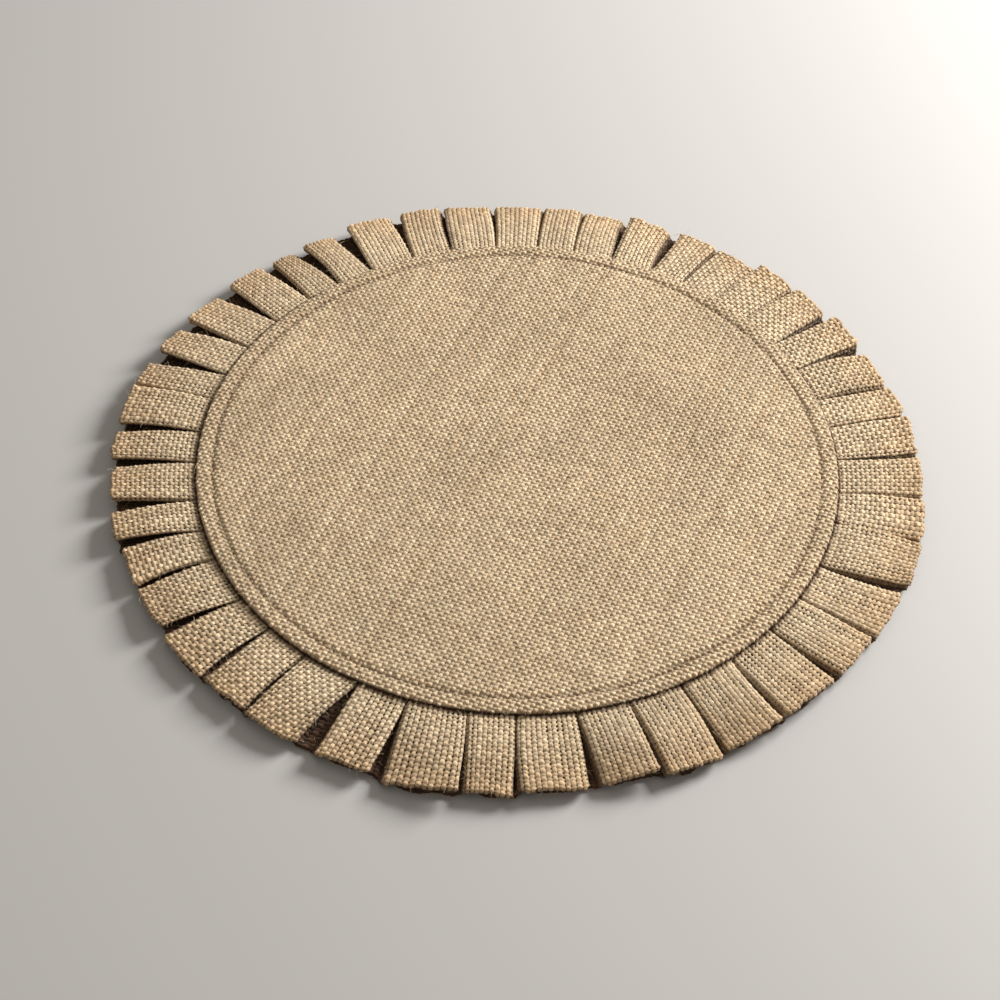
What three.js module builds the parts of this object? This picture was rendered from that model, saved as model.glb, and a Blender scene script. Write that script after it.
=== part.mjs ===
// Round ruffled jute mat: a mini tree skirt without a slit.
//
// Two round panels of plain jute cloth with turned-in edges hold a knife-pleated
// ruffle between them. One line of lockstitch goes through everything near the edge.
// Millimetres, +Z up, origin at the bottom centre, on the surface the mat lies on.

import * as THREE from 'three';

// ---- Driving sizes --------------------------------------------------------------

const OVERALL_DIAMETER = 381;
const PANEL_DIAMETER = 304.8;

const PANEL_CLOTH = 0.8;
const PANEL_TURN_IN = 10;

// The ruffle strip is folded double along its length, so its cloth is two layers.
const RUFFLE_CLOTH = 1.2;
const RUFFLE_SEAM_ALLOWANCE = 13;
const RUFFLE_END_HEIGHT = 9.4;

const PLEAT_COUNT = 43;
// How much of each pleat has no underlay behind it, so that the cloth can climb there.
const PLEAT_UNCOVERED = 4.27;
const PLEAT_RAMP_START = 0.4;
const PLEAT_RAMP_MARGIN = 1.6;

// The pleats take more strip than the cloth is wide, so it is joined from lengths.
const STRIP_COUNT = 3;

const STITCH_INSET = 7.5;
const STITCH_THREAD = 0.5;
const STITCH_VALLEY_SLOPE = 1.2;
const BASTING_INSET = 11.3;

// Sewn layers that touch on the real mat are kept this far apart.
const CLEARANCE = 0.3;

// ---- Sizes that follow from them ------------------------------------------------

const panelRadius = PANEL_DIAMETER / 2;
const outerRadius = OVERALL_DIAMETER / 2;
const ruffleInnerRadius = panelRadius - RUFFLE_SEAM_ALLOWANCE;
const stitchRadius = panelRadius - STITCH_INSET;
const bastingRadius = panelRadius - BASTING_INSET;

const layerPitch = RUFFLE_CLOTH + CLEARANCE;
const stackHeight = 2 * layerPitch + RUFFLE_CLOTH;

// The stitching pulls each panel in towards the seam, which makes a valley that
// is just deep enough for its thread.
const valleyDepth = STITCH_THREAD + CLEARANCE + 0.1;
const valleyFloorHalf = STITCH_THREAD / 2 + CLEARANCE;
const turnInGap = valleyDepth + CLEARANCE;
const hemHeight = PANEL_CLOTH + turnInGap + PANEL_CLOTH;

const stackBottom = hemHeight + CLEARANCE;
const totalHeight = stackBottom + stackHeight + CLEARANCE + hemHeight;

const pleatPitch = Math.PI * PANEL_DIAMETER / PLEAT_COUNT;
const pleatUnderlay = pleatPitch - PLEAT_UNCOVERED;

// Two flat facets to a pleat, and the same facets on everything round.
const roundSegments = 2 * PLEAT_COUNT;
const threadSides = 6;

// ---- Materials ------------------------------------------------------------------

function clothMaterial(color, roughness) {
  return new THREE.MeshStandardMaterial({ color, roughness, metalness: 0 });
}

const PANEL_JUTE = 0xc3a882;
const BACKING_JUTE = 0xb89c76;
const RUFFLE_JUTE = 0xb0946c;
const THREAD_TAN = 0x8c6f4c;

// ---- Panels ---------------------------------------------------------------------

// Section through a panel that lies face down: the main cloth runs out from the
// centre, dips up into the stitch valley, turns over at the edge and comes back.
function panelProfile() {
  const cloth = PANEL_CLOTH;
  const corner = cloth / 2;
  const turnInRadius = panelRadius - PANEL_TURN_IN;
  const valleyFoot = valleyFloorHalf + STITCH_VALLEY_SLOPE;
  return [
    [0, 0],
    [stitchRadius - valleyFoot, 0],
    [stitchRadius - valleyFloorHalf, valleyDepth],
    [stitchRadius + valleyFloorHalf, valleyDepth],
    [stitchRadius + valleyFoot, 0],
    [panelRadius - corner, 0],
    [panelRadius, corner],
    [panelRadius, hemHeight - corner],
    [panelRadius - corner, hemHeight],
    [turnInRadius, hemHeight],
    [turnInRadius, hemHeight - cloth],
    [panelRadius - cloth, hemHeight - cloth],
    [panelRadius - cloth, cloth],
    [stitchRadius + valleyFoot, cloth],
    [stitchRadius + valleyFloorHalf, valleyDepth + cloth],
    [stitchRadius - valleyFloorHalf, valleyDepth + cloth],
    [stitchRadius - valleyFoot, cloth],
    [0, cloth],
  ];
}

function revolve(profile) {
  const points = profile.map(([radius, height]) => new THREE.Vector2(radius, height));
  const geometry = new THREE.LatheGeometry(points, roundSegments);
  geometry.rotateX(Math.PI / 2);
  return geometry;
}

function panel(name, color, faceUp) {
  let profile = panelProfile();
  if (faceUp) {
    profile = profile.map(([radius, height]) => [radius, totalHeight - height]).reverse();
  }
  const mesh = new THREE.Mesh(revolve(profile), clothMaterial(color, 0.95));
  mesh.name = name;
  return mesh;
}

// ---- Pleated ruffle -------------------------------------------------------------

// Centre line of a run of knife pleats, as [distance along the seam, layer height].
// Every pleat climbs from the bottom of the stack to its own free fold, goes back
// under itself as the underlay, and comes forward again as the next pleat.
function pleatCentreLine(firstPleat, lastPleat, endTrim) {
  const bottom = RUFFLE_CLOTH / 2;
  const middle = bottom + layerPitch;
  const top = middle + layerPitch;
  const joinSetback = pleatUnderlay / 2;
  const line = [[firstPleat * pleatPitch - joinSetback + endTrim, bottom]];
  for (let pleat = firstPleat; pleat < lastPleat; pleat += 1) {
    const start = pleat * pleatPitch;
    const fold = start + pleatPitch - RUFFLE_CLOTH / 2;
    const back = start + PLEAT_UNCOVERED;
    line.push([start + PLEAT_RAMP_START, bottom]);
    line.push([back - PLEAT_RAMP_MARGIN, top]);
    line.push([fold, top]);
    line.push([fold, middle]);
    line.push([back, middle]);
    line.push([back, bottom]);
  }
  line.push([lastPleat * pleatPitch - joinSetback - endTrim, bottom]);
  return line.map(([along, height]) => new THREE.Vector2(along, height));
}

// One edge of the cloth: the centre line moved sideways, with mitred corners.
function offsetLine(line, distance) {
  return line.map((point, index) => {
    const before = line[Math.max(index - 1, 0)];
    const after = line[Math.min(index + 1, line.length - 1)];
    const arriving = index > 0 ? point.clone().sub(before) : after.clone().sub(point);
    const leaving = index < line.length - 1 ? after.clone().sub(point) : arriving.clone();
    const arrivingNormal = new THREE.Vector2(-arriving.y, arriving.x).normalize();
    const leavingNormal = new THREE.Vector2(-leaving.y, leaving.x).normalize();
    const mitre = arrivingNormal.clone().add(leavingNormal).normalize();
    const length = distance / mitre.dot(arrivingNormal);
    return point.clone().addScaledVector(mitre, length);
  });
}

// Under the panels the layers lie stacked. Outside them the stack opens towards the
// outer edge: its bottom comes down to the table and the gaps between layers widen.
function ruffleHeight(height, openness) {
  const bottom = THREE.MathUtils.lerp(stackBottom, 0, openness);
  const extraGap = openness * (RUFFLE_END_HEIGHT - stackHeight) / 2;
  const secondGap = RUFFLE_CLOTH + layerPitch;
  const opened = THREE.MathUtils.clamp((height - RUFFLE_CLOTH) / CLEARANCE, 0, 1)
    + THREE.MathUtils.clamp((height - secondGap) / CLEARANCE, 0, 1);
  return bottom + height + extraGap * opened;
}

const RUFFLE_STEPS = 4;

// Radius and openness at a fraction of the strip's width, counted from its raw edge.
// The first step is the seam allowance between the panels.
function ruffleStation(fraction) {
  const steps = fraction * RUFFLE_STEPS;
  if (steps <= 1) {
    return { radius: THREE.MathUtils.lerp(ruffleInnerRadius, panelRadius, steps), openness: 0 };
  }
  const openness = (steps - 1) / (RUFFLE_STEPS - 1);
  return { radius: THREE.MathUtils.lerp(panelRadius, outerRadius, openness), openness };
}

function wrapRound(geometry) {
  const position = geometry.attributes.position;
  for (let index = 0; index < position.count; index += 1) {
    const angle = position.getX(index) / panelRadius;
    const { radius, openness } = ruffleStation(position.getZ(index));
    const height = ruffleHeight(position.getY(index), openness);
    position.setXYZ(index, radius * Math.cos(angle), radius * Math.sin(angle), height);
  }
  return geometry;
}

const joinGap = STITCH_THREAD + 2 * CLEARANCE;

// The pleat at which a strip starts, with the pleats shared out evenly.
function stripStart(strip) {
  return Math.round(strip * PLEAT_COUNT / STRIP_COUNT);
}

function ruffleStrip(strip) {
  const firstPleat = stripStart(strip);
  const lastPleat = stripStart(strip + 1);
  const line = pleatCentreLine(firstPleat, lastPleat, joinGap / 2);
  const upper = offsetLine(line, RUFFLE_CLOTH / 2);
  const lower = offsetLine(line, -RUFFLE_CLOTH / 2);
  const section = new THREE.Shape([...lower, ...upper.reverse()]);
  const options = { depth: 1, steps: RUFFLE_STEPS, bevelEnabled: false };
  const geometry = wrapRound(new THREE.ExtrudeGeometry(section, options));
  geometry.computeVertexNormals();
  const mesh = new THREE.Mesh(geometry, clothMaterial(RUFFLE_JUTE, 0.95));
  mesh.name = `ruffle_strip_${strip + 1}`;
  return mesh;
}

// ---- Threads --------------------------------------------------------------------

function threadRing(name, radius, height) {
  const geometry = new THREE.TorusGeometry(radius, STITCH_THREAD / 2, threadSides, roundSegments);
  const mesh = new THREE.Mesh(geometry, clothMaterial(THREAD_TAN, 0.8));
  mesh.name = name;
  mesh.position.z = height;
  return mesh;
}

// The seam that joins two strip ends, hidden in the bottom layer of a pleat.
function joinThread(strip) {
  const angle = (stripStart(strip) * pleatPitch - pleatUnderlay / 2) / panelRadius;
  const endMargin = 1 / RUFFLE_STEPS / 10;
  const points = [endMargin, 1 / RUFFLE_STEPS, 0.6, 1 - endMargin].map((fraction) => {
    const { radius, openness } = ruffleStation(fraction);
    const height = ruffleHeight(RUFFLE_CLOTH / 2, openness);
    return new THREE.Vector3(radius * Math.cos(angle), radius * Math.sin(angle), height);
  });
  const path = new THREE.CatmullRomCurve3(points);
  const round = new THREE.Shape();
  round.absarc(0, 0, STITCH_THREAD / 2, 0, 2 * Math.PI);
  const options = { extrudePath: path, steps: 6, curveSegments: threadSides / 2, bevelEnabled: false };
  const mesh = new THREE.Mesh(new THREE.ExtrudeGeometry(round, options), clothMaterial(THREAD_TAN, 0.8));
  mesh.name = `strip_join_thread_${strip + 1}`;
  return mesh;
}

// ---- Assembly -------------------------------------------------------------------

const needleHeight = totalHeight - STITCH_THREAD / 2 - 0.1;
const bobbinHeight = STITCH_THREAD / 2 + 0.1;
const bastingHeight = stackBottom - CLEARANCE - STITCH_THREAD / 2;

const group = new THREE.Group();
group.add(
  panel('top_panel', PANEL_JUTE, true),
  panel('backing_panel', BACKING_JUTE, false),
  threadRing('edge_needle_thread', stitchRadius, needleHeight),
  threadRing('edge_bobbin_thread', stitchRadius, bobbinHeight),
  threadRing('pleat_basting_thread', bastingRadius, bastingHeight),
);
for (let strip = 0; strip < STRIP_COUNT; strip += 1) {
  group.add(ruffleStrip(strip));
  group.add(joinThread(strip));
}

export default group;
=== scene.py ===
# %% [markdown]
# # A ruffled jute mat
#
# The object is a mini tree skirt: two discs of coarse jute cloth, sewn together round the edge
# with a knife-pleated ruffle between them. Everything about it is cloth and thread, so the lesson
# is about cloth: how to give it a weave that is really there, how to fold it, and how to sew it.
#
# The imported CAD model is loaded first. It fixes the sizes, and every piece made here stands for
# one of its plain solids. Blender works in metres, so millimetres are written through `MM`.

import math

import bpy
import numpy as np
from mathutils import Matrix, Vector
from mathutils.geometry import delaunay_2d_cdt


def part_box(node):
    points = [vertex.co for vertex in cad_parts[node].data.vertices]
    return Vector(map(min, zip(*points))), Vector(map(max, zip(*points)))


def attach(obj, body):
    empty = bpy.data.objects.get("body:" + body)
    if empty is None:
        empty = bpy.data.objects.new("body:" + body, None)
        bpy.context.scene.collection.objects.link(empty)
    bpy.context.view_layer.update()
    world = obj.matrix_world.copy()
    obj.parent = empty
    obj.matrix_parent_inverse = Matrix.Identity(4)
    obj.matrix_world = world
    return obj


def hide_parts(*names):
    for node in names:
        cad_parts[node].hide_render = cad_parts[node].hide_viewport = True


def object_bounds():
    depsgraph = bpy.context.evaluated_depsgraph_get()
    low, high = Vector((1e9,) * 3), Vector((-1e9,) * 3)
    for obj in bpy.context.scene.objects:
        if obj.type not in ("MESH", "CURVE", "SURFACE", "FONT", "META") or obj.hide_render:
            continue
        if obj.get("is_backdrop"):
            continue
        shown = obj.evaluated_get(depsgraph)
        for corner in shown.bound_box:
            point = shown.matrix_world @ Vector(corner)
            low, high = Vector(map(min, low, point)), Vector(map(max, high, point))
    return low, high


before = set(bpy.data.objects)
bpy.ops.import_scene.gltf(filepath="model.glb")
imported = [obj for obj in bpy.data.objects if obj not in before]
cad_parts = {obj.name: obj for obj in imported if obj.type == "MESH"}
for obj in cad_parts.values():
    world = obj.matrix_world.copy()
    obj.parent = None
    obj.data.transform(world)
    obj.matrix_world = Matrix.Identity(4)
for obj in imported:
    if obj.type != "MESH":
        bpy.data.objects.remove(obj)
cad_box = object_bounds()

MM = 0.001
scene = bpy.context.scene

panel_low, panel_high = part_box("top_panel")
_, ruffle_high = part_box("ruffle_strip_1")
needle_low, needle_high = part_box("edge_needle_thread")
basting_low, basting_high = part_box("pleat_basting_thread")


def seam_radius(low, high):
    """Radius of the centre line of a ring of thread that lies flat."""
    return high.x - (high.z - low.z) / 2


PANEL_RADIUS = panel_high.y
OUTER_RADIUS = ruffle_high.x
STITCH_RADIUS = seam_radius(needle_low, needle_high)
BASTING_RADIUS = seam_radius(basting_low, basting_high)
TOP_HEIGHT = panel_high.z
print(f"panel radius {PANEL_RADIUS / MM:.1f} mm, outer radius {OUTER_RADIUS / MM:.1f} mm")
print(f"stitch line at {STITCH_RADIUS / MM:.1f} mm, top face at {TOP_HEIGHT / MM:.1f} mm")

# %% [markdown]
# ## Camera
#
# The mat lies flat and is seen from about 47 degrees above. A camera could be aimed with a
# Track To constraint, but a constraint can't roll. Building its three axes by hand and putting
# them in a matrix gives the aim and the small roll in one step.

# %% Camera
CAMERA_TARGET = Vector((-7.9, -21.3, 0)) * MM
CAMERA_DISTANCE = 0.938
CAMERA_ELEVATION = math.radians(47.45)
CAMERA_ROLL = math.radians(-1.23)
CAMERA_LENS = 71.2

camera_data = bpy.data.cameras.new("camera")
camera_data.lens = CAMERA_LENS
camera_data.clip_start = 0.01
camera = bpy.data.objects.new("camera", camera_data)
scene.collection.objects.link(camera)
scene.camera = camera

backward = Vector((0, -math.cos(CAMERA_ELEVATION), math.sin(CAMERA_ELEVATION)))
level_right = Vector((1, 0, 0))
level_up = backward.cross(level_right)
right = level_right * math.cos(CAMERA_ROLL) - level_up * math.sin(CAMERA_ROLL)
up = level_right * math.sin(CAMERA_ROLL) + level_up * math.cos(CAMERA_ROLL)
camera.matrix_world = Matrix.Translation(CAMERA_TARGET + backward * CAMERA_DISTANCE) @ Matrix(
    (right, up, backward)
).transposed().to_4x4()
print(f"camera {CAMERA_DISTANCE:.3f} m away, {math.degrees(CAMERA_ELEVATION):.1f} degrees up")

# %% [markdown]
# ## Floor and light
#
# The mat lies on a plain pale surface in soft light from a large window behind it on the right,
# about 28 degrees up. Light that low is what makes the pleats read: each one throws a shadow on
# the next. One big area light is the window, and a pale sky fills the shadows. A gentle sheen on
# the floor catches the window, so the floor is brightest at the back right.

# %% Floor, window light and sky
FLOOR_SIZE = 16.0
FLOOR_COLOUR = (0.62, 0.605, 0.585, 1)
FLOOR_ROUGHNESS = 0.42
WINDOW_AZIMUTH = math.radians(31)
WINDOW_ELEVATION = math.radians(28)
WINDOW_DISTANCE = 1.5
WINDOW_WIDTH = 0.60
WINDOW_POWER = 36.5
WINDOW_COLOUR = (1.0, 0.99, 0.975)
SKY_COLOUR = (1.0, 0.94, 0.86, 1)
SKY_STRENGTH = 0.29

scene.view_settings.view_transform = "Standard"

bpy.ops.mesh.primitive_plane_add(size=FLOOR_SIZE)
floor = bpy.context.object
floor.name = "floor"
floor_paint = bpy.data.materials.new("pale_floor")
floor_paint.use_nodes = True
floor_shader = floor_paint.node_tree.nodes["Principled BSDF"]
floor_shader.inputs["Base Color"].default_value = FLOOR_COLOUR
floor_shader.inputs["Roughness"].default_value = FLOOR_ROUGHNESS
floor.data.materials.append(floor_paint)
floor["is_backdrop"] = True

window_data = bpy.data.lights.new("window", "AREA")
window_data.shape = "SQUARE"
window_data.size = WINDOW_WIDTH
window_data.energy = WINDOW_POWER
window_data.color = WINDOW_COLOUR
window = bpy.data.objects.new("window", window_data)
scene.collection.objects.link(window)
towards_window = Vector((
    math.cos(WINDOW_AZIMUTH) * math.cos(WINDOW_ELEVATION),
    math.sin(WINDOW_AZIMUTH) * math.cos(WINDOW_ELEVATION),
    math.sin(WINDOW_ELEVATION),
))
window.location = towards_window * WINDOW_DISTANCE
window.rotation_euler = towards_window.to_track_quat("Z", "Y").to_euler()

sky = bpy.data.worlds.new("sky")
sky.use_nodes = True
background = sky.node_tree.nodes["Background"]
background.inputs["Color"].default_value = SKY_COLOUR
background.inputs["Strength"].default_value = SKY_STRENGTH
scene.world = sky

# %% [markdown]
# ## Writing node trees as sums
#
# A woven surface is a formula. Joined up by hand it would be sixty Math nodes. This small class
# wraps a socket and turns Python's own operators into Math nodes, so the formula can be written
# once and used twice: in Geometry Nodes, where it lifts the threads, and in the shader, where it
# colours them. Both kinds of tree share the same Math and noise nodes.

# %% Node maths
def operator(operation, swapped=False):
    """A Python operator that adds a Math node. swapped is for a number on its left side."""
    def apply(value, other):
        first, second = (other, value) if swapped else (value, other)
        return value.tree.math(operation, first, second)

    return apply


class Value:
    """The output of a node, which can be calculated with."""

    def __init__(self, tree, socket):
        self.tree = tree
        self.socket = socket

    __add__, __radd__ = operator("ADD"), operator("ADD", True)
    __sub__, __rsub__ = operator("SUBTRACT"), operator("SUBTRACT", True)
    __mul__, __rmul__ = operator("MULTIPLY"), operator("MULTIPLY", True)
    __truediv__ = operator("DIVIDE")
    __gt__ = operator("GREATER_THAN")

    def other_output(self, name):
        """Another output of the same node."""
        return Value(self.tree, self.socket.node.outputs[name])


SEED_SPREAD = 13.7


class Tree:
    """A node tree that is written in Python. Nodes are made by add, and sums by math."""

    def __init__(self, node_tree):
        self.node_tree = node_tree
        self.nodes = node_tree.nodes
        self.links = node_tree.links

    def add(self, kind, inputs=None, output=0, **settings):
        """A node of that kind, with its settings made first and then its inputs set or linked."""
        node = self.nodes.new(kind)
        for name, setting in settings.items():
            setattr(node, name, setting)
        for key, value in (inputs or {}).items():
            self.plug(value, node.inputs[key])
        return Value(self, node.outputs[output])

    def plug(self, value, socket):
        if isinstance(value, Value):
            self.links.new(value.socket, socket)
        else:
            socket.default_value = value

    def math(self, operation, *values):
        return self.add("ShaderNodeMath", dict(enumerate(values)), operation=operation)

    def sin(self, value):
        return self.math("SINE", value)

    def maximum(self, a, b):
        return self.math("MAXIMUM", a, b)

    def wave(self, value):
        """Half a wave to each whole number."""
        return self.sin(value * math.pi)

    def smooth(self, value, low, high):
        """0 below low, 1 above high, and an easy curve between them."""
        inputs = {"Value": value, "From Min": low, "From Max": high}
        return self.add("ShaderNodeMapRange", inputs, interpolation_type="SMOOTHSTEP")

    def vector(self, x, y, z):
        return self.add("ShaderNodeCombineXYZ", {0: x, 1: y, 2: z})

    def parts(self, vector):
        split = self.add("ShaderNodeSeparateXYZ", {0: vector})
        return [split.other_output(axis) for axis in "XYZ"]

    def chance(self, number, seed):
        """The same random number from 0 to 1 for the same whole number."""
        inputs = {"W": number + seed * SEED_SPREAD}
        return self.add("ShaderNodeTexWhiteNoise", inputs, "Value", noise_dimensions="1D")

    def noise(self, vector, scale, detail=2.0):
        inputs = {"Vector": vector, "Scale": scale, "Detail": detail}
        return self.add("ShaderNodeTexNoise", inputs, 0, noise_dimensions="3D")

    def mix(self, share, first, second, blend="MIX"):
        """Two colours mixed. A number given for a colour is a grey of that strength."""
        inputs = {0: share, 6: first, 7: second}
        return self.add("ShaderNodeMix", inputs, 2, data_type="RGBA", blend_type=blend)


# %% [markdown]
# ## The weave
#
# Jute hessian is a plain weave: each warp thread goes over one weft thread and under the next.
# A cloth coordinate counts threads, so one whole number is one thread and the fraction is the
# place across it. The warp's height is a sine along its length, with its sign swapped from each
# thread to the next, and the weft's is the same turned round and upside down. The warp stands a
# little prouder, as the tighter set of threads does. Each thread has a rounded section on top of
# that, and whichever thread is higher is the one that is seen. Beside a thread the surface falls
# away, so that a hole is left where four threads meet: nearly closed in the pressed panels, and
# open in the ruffle, which was never pressed.
#
# Real jute is spun thick and thin, so every thread draws its own width and swells along its way.
# None of them lies quite straight, and no crossing is quite as high as the next.

# %% The plain weave formula
# All but the pitch are shares of the pitch. PRESSED and UNPRESSED are how loose a cloth is. The
# pairs are for cloth that isn't loose at all, and what a looseness of 1 adds.
THREAD_PITCH = 2.04 * MM
THINNEST = 0.29
ROUNDNESS = (0.32, 0.12)
HOLE_FALL = (0.05, 0.62)
LEAST_LIFT = 0.72
LIFT_RANGE = 0.56
WARP_CRIMP = 0.42
WEFT_CRIMP = 0.32
WARP_PROUD = 0.26
PRESSED = 0.35
UNPRESSED = 1.0
WANDER = 0.34
WEAVE_DEPTH = 0.50


def thread_width(tree, thread, along, seed):
    """Half the width of one thread, as a share of the pitch, thick and thin along its length."""
    own = tree.chance(thread, seed)
    swell = tree.noise(tree.vector(thread * 3.1, along * 0.11, seed), 1.0)
    return THINNEST + own * 0.10 + swell * 0.12


def thread_side(tree, thread, along, seed):
    """How far one thread has strayed sideways, because no thread lies quite straight."""
    return (tree.noise(tree.vector(thread * 2.3, along * 0.31, seed), 1.0) - 0.5) * WANDER


def crossing(warp, weft):
    """One number for each place where two threads cross."""
    return warp + weft * 71.3


def plain_weave(tree, u, v, seed, loose):
    """Height of the upper thread, and the facts about it that colour needs.

    loose is 0 for cloth that was pressed flat, and 1 for cloth with round threads and open holes.
    """
    roundness = ROUNDNESS[0] + ROUNDNESS[1] * loose
    hole_fall = HOLE_FALL[0] + HOLE_FALL[1] * loose
    warp, weft = tree.math("FLOOR", u), tree.math("FLOOR", v)
    across_warp = u - warp - 0.5 + thread_side(tree, warp, v, seed + 2)
    across_weft = v - weft - 0.5 + thread_side(tree, weft, u, seed + 7)
    warp_width = thread_width(tree, warp, v, seed)
    weft_width = thread_width(tree, weft, u, seed + 5)
    warp_sign = 1 - 2 * tree.math("FLOORED_MODULO", warp, 2.0)
    weft_sign = 1 - 2 * tree.math("FLOORED_MODULO", weft, 2.0)

    def thread_top(across, width, level):
        place = across / (width - 0.04 * loose)
        crown = tree.maximum(1 - place * place, 0.0)
        beside = tree.maximum(place * place - 1, 0.0)
        return level + crown * roundness * width - beside * hole_fall

    lift = LEAST_LIFT + LIFT_RANGE * tree.chance(crossing(warp, weft), seed + 11)
    warp_level = WARP_PROUD + WARP_CRIMP * lift * warp_sign * tree.wave(v)
    weft_level = -WEFT_CRIMP * lift * weft_sign * tree.wave(u)
    warp_height = thread_top(across_warp, warp_width, warp_level)
    weft_height = thread_top(across_weft, weft_width, weft_level)
    warp_shows = warp_height > weft_height
    return {
        "height": tree.maximum(warp_height, weft_height),
        "warp_shows": warp_shows,
        "warp": warp,
        "weft": weft,
        "across_warp": across_warp,
        "across_weft": across_weft,
    }


# %% [markdown]
# ## The jute finish
#
# Jute is straw-gold, but never one colour. Every thread was spun from its own handful of fibre,
# so some are paler or greyer than their neighbours, and each changes along its length. Its
# strands are twisted, which shows as fine slanting streaks. The holes between the threads are
# nearly black-brown, because light goes in and doesn't come out again.
#
# An image of hessian would repeat and would stop at one sharpness. The shader instead reads the
# same `cloth` attribute and the same weave formula as the mesh will, so that colour and relief
# always agree, and streaks can follow each thread wherever the cloth bends.

# %% Jute cloth material
WHITE = (1, 1, 1, 1)
# Painted shade: the cloth's colour is multiplied by this dark brown in folds, in the hem's shadow and
# out of sight.
PAINTED_SHADE_TINT = (0.115, 0.07, 0.045, 1)
HOLE_LEVELS = (-0.10, 0.24)
BUMP_DISTANCE = 1.1 * MM


def new_finish(name):
    """A material, its tree and its one shader."""
    material = bpy.data.materials.new(name)
    material.use_nodes = True
    tree = Tree(material.node_tree)
    return material, tree, tree.nodes["Principled BSDF"]


def jute_cloth(name, seed, loose, pale, middling, shadow, tip=WHITE):
    """Woven jute. tip is the colour that the cloth is tinted with where its third count is 1."""
    material, tree, shader = new_finish(name)
    cloth = tree.add("ShaderNodeAttribute", {}, "Vector", attribute_name="cloth")
    painted_shade = tree.add("ShaderNodeAttribute", {}, "Fac", attribute_name="painted_shade")
    u, v, tip_share = tree.parts(cloth)
    weave = plain_weave(tree, u, v, seed, loose)
    shows = weave["warp_shows"]
    hidden = 1 - shows
    thread = shows * weave["warp"] + hidden * (weave["weft"] + 500.5)
    along = shows * v + hidden * u
    across = shows * weave["across_warp"] + hidden * weave["across_weft"]

    own_tone = tree.chance(thread, seed + 3)
    slub = tree.noise(tree.vector(thread * 3.7, along * 0.21, seed), 1.0)
    strand = tree.noise(tree.vector(across * 5.0 + along * 1.3, along * 0.7, thread * 5.3), 1.3)
    fibre = tree.noise(tree.vector(across * 17 + along * 4, along * 1.5, thread * 7.7), 1.0, 3.0)
    place = tree.add("ShaderNodeTexCoord", {}, "Object")
    patch = tree.noise(place, 24.0, 3.0)
    solid = tree.smooth(weave["height"], *HOLE_LEVELS)

    # Tone runs from a dull thread to a pale one, and grain darkens whichever it is.
    tone = own_tone * 0.34 + slub * 0.62 + strand * 0.5 + fibre * 0.34 - 0.42
    colour = tree.mix(tree.smooth(tone, 0.0, 1.0), middling, pale)
    knot = tree.chance(crossing(weave["warp"], weave["weft"]), seed + 4)
    grain = (0.68 + fibre * 0.58) * (0.76 + patch * 0.46) * (0.82 + knot * 0.32)
    # Painted shade: where the weft is on top, it is painted a little darker than the warp.
    grain = grain * (0.90 + shows * 0.12)
    colour = tree.mix(1.0, colour, grain, "MULTIPLY")
    colour = tree.mix(tip_share, colour, tree.mix(1.0, colour, tip, "MULTIPLY"))
    colour = tree.mix(solid, shadow, colour)
    # Painted shade: the third attribute darkens the colour towards the dark brown tint in folds, at the
    # hem's edge and on hidden faces.
    shaded_colour = tree.mix(1.0, colour, PAINTED_SHADE_TINT, "MULTIPLY")
    colour = tree.mix(painted_shade, colour, shaded_colour)
    tree.plug(colour, shader.inputs["Base Color"])
    tree.plug(0.80 + fibre * 0.18, shader.inputs["Roughness"])
    shader.inputs["Specular IOR Level"].default_value = 0.22
    shader.inputs["Sheen Weight"].default_value = 0.12
    shader.inputs["Sheen Roughness"].default_value = 0.6

    surface = weave["height"] + strand * 0.16 + fibre * 0.13
    bump = {"Height": surface, "Strength": 1.0, "Distance": BUMP_DISTANCE}
    tree.plug(tree.add("ShaderNodeBump", bump), shader.inputs["Normal"])
    return material


panel_jute = jute_cloth(
    "panel_hessian", 1.0, PRESSED,
    pale=(0.90, 0.71, 0.475, 1),
    middling=(0.60, 0.42, 0.24, 1),
    shadow=(0.115, 0.067, 0.034, 1),
)
backing_jute = jute_cloth(
    "backing_hessian", 2.0, PRESSED,
    pale=(0.91, 0.72, 0.475, 1),
    middling=(0.61, 0.43, 0.24, 1),
    shadow=(0.11, 0.065, 0.033, 1),
)
ruffle_jute = jute_cloth(
    "ruffle_hessian", 3.0, UNPRESSED,
    pale=(0.97, 0.785, 0.53, 1),
    middling=(0.73, 0.52, 0.31, 1),
    shadow=(0.10, 0.056, 0.027, 1),
    tip=(0.92, 0.83, 0.74, 1),
)
print(f"jute shader has {len(panel_jute.node_tree.nodes)} nodes")

# %% [markdown]
# ## Fibre and sewing thread finishes
#
# Loose fibres are single hairs of the same plant, paler and a little shinier than the cloth. The
# sewing thread is smooth spun polyester in nearly the jute's colour. Its two plies wind round
# each other, which is a sine of the way along plus the way round. The stitches store both as
# attributes when they are made.

# %% Fibre and thread materials
def loose_fibre_finish():
    material, tree, shader = new_finish("loose_jute_fibre")
    place = tree.add("ShaderNodeTexCoord", {}, "Object")
    tone = tree.smooth(tree.noise(place, 210.0), 0.3, 0.7)
    colour = tree.mix(tone, (0.50, 0.345, 0.19, 1), (0.90, 0.75, 0.53, 1))
    tree.plug(colour, shader.inputs["Base Color"])
    tree.plug(0.50 + tone * 0.2, shader.inputs["Roughness"])
    return material


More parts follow.
